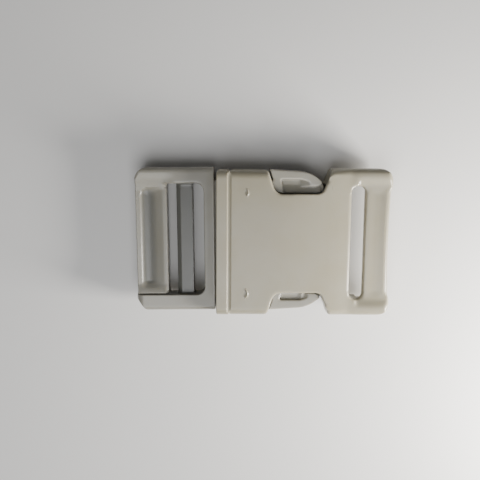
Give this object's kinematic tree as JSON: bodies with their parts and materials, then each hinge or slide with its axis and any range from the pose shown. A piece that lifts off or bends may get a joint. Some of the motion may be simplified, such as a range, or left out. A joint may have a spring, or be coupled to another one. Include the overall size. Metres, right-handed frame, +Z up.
{
  "type": "side release buckle",
  "caption": "Fastened side release buckle of natural moulded plastic for 25 mm webbing, with a web-adjusting plug and a hollow socket.",
  "frame": {"origin": "under the middle of the buckle, on the surface that its flat belly rests on", "axes": "+X along the buckle from the plug to the socket's end, +Y across it, +Z up"},
  "size_m": [0.0618, 0.0357, 0.011],
  "materials": {
    "plug_plastic": "fine satin mould texture, slightly milky natural acetal",
    "socket_plastic": "fine satin mould texture, slightly milky natural acetal"
  },
  "bodies": {
    "root": {"plug": "plug_plastic", "socket": "socket_plastic"}
  },
  "joints": []
}
